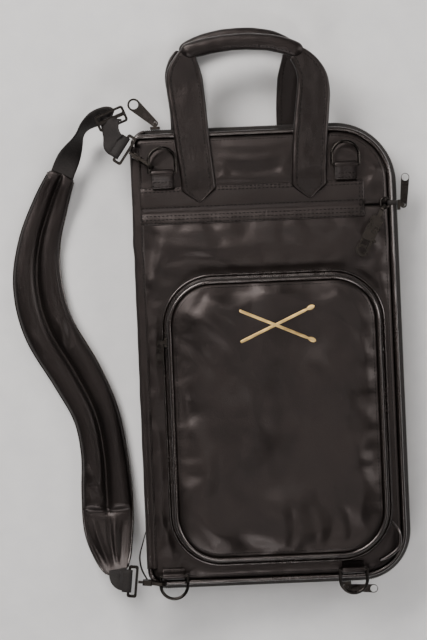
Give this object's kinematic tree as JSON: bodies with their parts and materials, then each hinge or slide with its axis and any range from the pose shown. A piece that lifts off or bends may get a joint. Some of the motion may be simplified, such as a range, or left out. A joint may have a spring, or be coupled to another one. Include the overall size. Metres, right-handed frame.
{
  "type": "drum stick bag",
  "caption": "Zip-round leather drum stick bag with carrying handles, a padded shoulder strap, a front pocket, D-rings and a key clip, lying on its back.",
  "frame": {"origin": "middle of the rear panel's outer face, which lies on the floor", "axes": "+X towards the zip side, +Y towards the handles, +Z out of the front of the bag"},
  "size_m": [0.4058, 0.5773, 0.0671],
  "materials": {
    "leather": "smooth black leather, soft sheen",
    "piping": "glossy black leather piping",
    "zip_tape": "woven",
    "zip_coil": "satin",
    "lining": "woven",
    "webbing": "woven",
    "dark_metal": "black nickel",
    "gold_print": "satin gold print"
  },
  "bodies": {
    "rear_case": {"rear_panel": "leather", "rear_band": "leather", "rear_handle_anchors": "leather", "rear_piping": "piping", "rear_zip_tape": "zip_tape", "rear_zip_coil": "zip_coil", "spine_panel": "leather", "rear_lining": "lining", "stick_sleeve_panel": "lining", "stick_sleeve_seams": "lining"},
    "front_cover": {"lower_front_panel": "leather", "upper_front_panel": "leather", "front_band": "leather", "front_piping": "piping", "front_zip_tape": "zip_tape", "front_zip_coil": "zip_coil", "front_lining": "lining", "front_handle_anchors": "leather", "pocket_welt": "leather", "pocket_gusset_base": "leather", "pocket_gusset": "leather", "pocket_face": "leather", "pocket_piping": "piping", "pocket_zip_coil_base": "zip_coil", "ring_tabs": "leather", "d_ring_top_left": "dark_metal", "d_ring_bottom_left": "dark_metal", "key_clip_loop": "webbing"},
    "pocket_flap": {"pocket_flap": "leather", "pocket_flap_gusset": "leather", "pocket_flap_piping": "piping", "pocket_zip_coil_flap": "zip_coil", "emblem": "gold_print"},
    "front_handle": {"front_handle_straps": "leather", "front_handle_grip": "leather"},
    "rear_handle": {"rear_handle_straps": "leather", "rear_handle_grip": "leather"},
    "ring_top_right": {"d_ring_top_right": "dark_metal"},
    "ring_bottom_right": {"d_ring_bottom_right": "dark_metal"},
    "slider_top": {"zip_slider_top": "dark_metal"},
    "puller_top": {"zip_puller_top": "dark_metal"},
    "slider_side": {"zip_slider_side": "dark_metal"},
    "puller_side": {"zip_puller_side": "dark_metal"},
    "slider_bottom": {"zip_slider_bottom": "dark_metal"},
    "puller_bottom": {"zip_puller_bottom": "dark_metal"},
    "pocket_slider": {"pocket_slider": "dark_metal"},
    "pocket_puller": {"pocket_puller": "dark_metal"},
    "key_clip": {"key_clip_body": "dark_metal", "key_clip_ring": "dark_metal"},
    "key_clip_gate": {"key_clip_gate": "dark_metal"},
    "shoulder_strap": {"strap_pad": "leather", "strap_webbing_upper": "webbing", "strap_webbing_lower": "webbing", "strap_adjuster": "dark_metal", "strap_swivel_top": "dark_metal", "strap_swivel_bottom": "dark_metal", "strap_hook_top": "dark_metal", "strap_hook_bottom": "dark_metal"},
    "hook_gate_top": {"hook_gate_top": "dark_metal"},
    "hook_gate_bottom": {"hook_gate_bottom": "dark_metal"}
  },
  "joints": [
    {"name": "cover_open", "type": "hinge", "parent": "rear_case", "child": "front_cover", "pos_m": [-0.133, 0, 0.041], "axis": [0, -1, 0], "range_deg": [0, 110]},
    {"name": "strap_swing", "type": "hinge", "parent": "front_cover", "child": "shoulder_strap", "pos_m": [-0.1155, 0.1946, 0.0526], "axis": [-0.012, -0.9999, 0], "range_deg": [-110, 0]},
    {"name": "flap_open", "type": "hinge", "parent": "front_cover", "child": "pocket_flap", "pos_m": [0, 0.006, 0.0673], "axis": [1, 0, 0], "range_deg": [0, 60]},
    {"name": "front_handle_lift", "type": "hinge", "parent": "front_cover", "child": "front_handle", "pos_m": [0, 0.178, 0.0495], "axis": [1, 0, 0], "range_deg": [0, 110]},
    {"name": "rear_handle_lift", "type": "hinge", "parent": "rear_case", "child": "rear_handle", "pos_m": [0, 0.244, 0.0017], "axis": [1, 0, 0], "range_deg": [0, 77]},
    {"name": "ring_top_right_swing", "type": "hinge", "parent": "front_cover", "child": "ring_top_right", "pos_m": [0.081, 0.187, 0.0526], "axis": [1, 0, 0], "range_deg": [0, 150]},
    {"name": "ring_bottom_right_swing", "type": "hinge", "parent": "front_cover", "child": "ring_bottom_right", "pos_m": [0.072, -0.217, 0.0526], "axis": [-1, 0, 0], "range_deg": [0, 105]},
    {"name": "slider_top_run", "type": "slide", "parent": "rear_case", "child": "slider_top", "axis": [1, 0, 0], "range_m": [0, 0.088]},
    {"name": "puller_top_swing", "type": "hinge", "parent": "slider_top", "child": "puller_top", "pos_m": [-0.108, 0.2384, 0.022], "axis": [0, 0, 1], "range_deg": [-55, 30]},
    {"name": "slider_side_run", "type": "slide", "parent": "rear_case", "child": "slider_side", "axis": [0, -1, 0], "range_m": [0, 0.3]},
    {"name": "puller_side_swing", "type": "hinge", "parent": "slider_side", "child": "puller_side", "pos_m": [0.1399, 0.146, 0.022], "axis": [0, 0, 1], "range_deg": [-160, 0]},
    {"name": "slider_bottom_run", "type": "slide", "parent": "rear_case", "child": "slider_bottom", "axis": [-1, 0, 0], "range_m": [0, 0.16]},
    {"name": "puller_bottom_swing", "type": "hinge", "parent": "slider_bottom", "child": "puller_bottom", "pos_m": [0.066, -0.2384, 0.022], "axis": [0, 0, 1], "range_deg": [-160, 0]},
    {"name": "pocket_slider_run", "type": "slide", "parent": "front_cover", "child": "pocket_slider", "axis": [0, 1, 0], "range_m": [0, 0.012]},
    {"name": "pocket_puller_swing", "type": "hinge", "parent": "pocket_slider", "child": "pocket_puller", "pos_m": [-0.1103, 0.017, 0.0553], "axis": [0, 0, 1], "range_deg": [-160, 0]},
    {"name": "key_clip_swing", "type": "hinge", "parent": "front_cover", "child": "key_clip", "pos_m": [0.119, 0.147, 0.0517], "axis": [0, 0, 1], "range_deg": [-25, 25]},
    {"name": "key_clip_gate_slide", "type": "slide", "parent": "key_clip", "child": "key_clip_gate", "axis": [0.4775, 0.8786, 0], "range_m": [0, 0.006], "stiffness_N_per_m": 150, "springref_m": -0.002},
    {"name": "hook_gate_top_slide", "type": "slide", "parent": "shoulder_strap", "child": "hook_gate_top", "axis": [-0.8211, 0.5708, 0], "range_m": [0, 0.0045], "stiffness_N_per_m": 150, "springref_m": -0.002},
    {"name": "hook_gate_bottom_slide", "type": "slide", "parent": "shoulder_strap", "child": "hook_gate_bottom", "axis": [-0.9927, 0.1203, 0], "range_m": [0, 0.0045], "stiffness_N_per_m": 150, "springref_m": -0.002}
  ],
  "couplings": [
    {"joint": "strap_swing", "follows": "cover_open", "ratio": -1},
    {"joint": "rear_handle_lift", "follows": "front_handle_lift", "ratio": 0.7}
  ]
}
